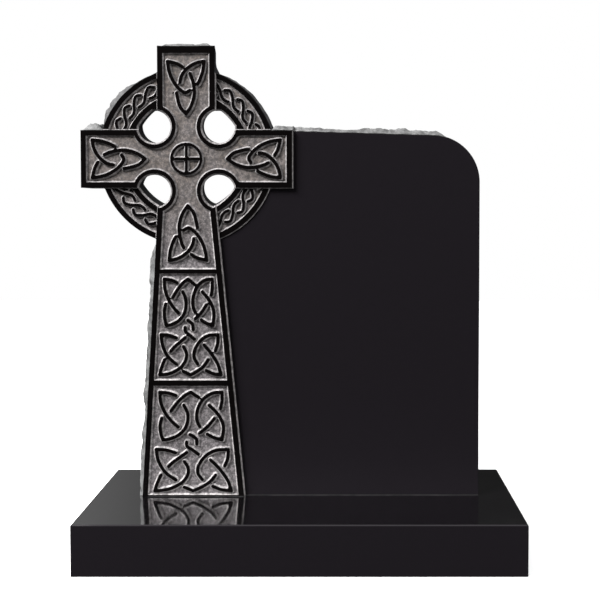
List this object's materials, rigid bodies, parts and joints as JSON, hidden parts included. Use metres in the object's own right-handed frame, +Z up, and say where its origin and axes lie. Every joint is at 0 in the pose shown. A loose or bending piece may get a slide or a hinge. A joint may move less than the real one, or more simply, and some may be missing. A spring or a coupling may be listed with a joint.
{
  "type": "celtic cross headstone",
  "caption": "Black granite headstone with a ringed, pierced Celtic cross carved down one side of a plain polished tablet, on a low rectangular base.",
  "frame": {"origin": "middle of the base's underside, where the memorial stands on the ground", "axes": "+Z up the stone, +Y towards its back, +X to the right seen from the front"},
  "size_m": [0.939, 0.305, 1.099],
  "materials": {
    "polished_granite": "polished",
    "carved_granite": "polished"
  },
  "bodies": {
    "root": {"base": "polished_granite", "headstone": "carved_granite"}
  },
  "joints": []
}
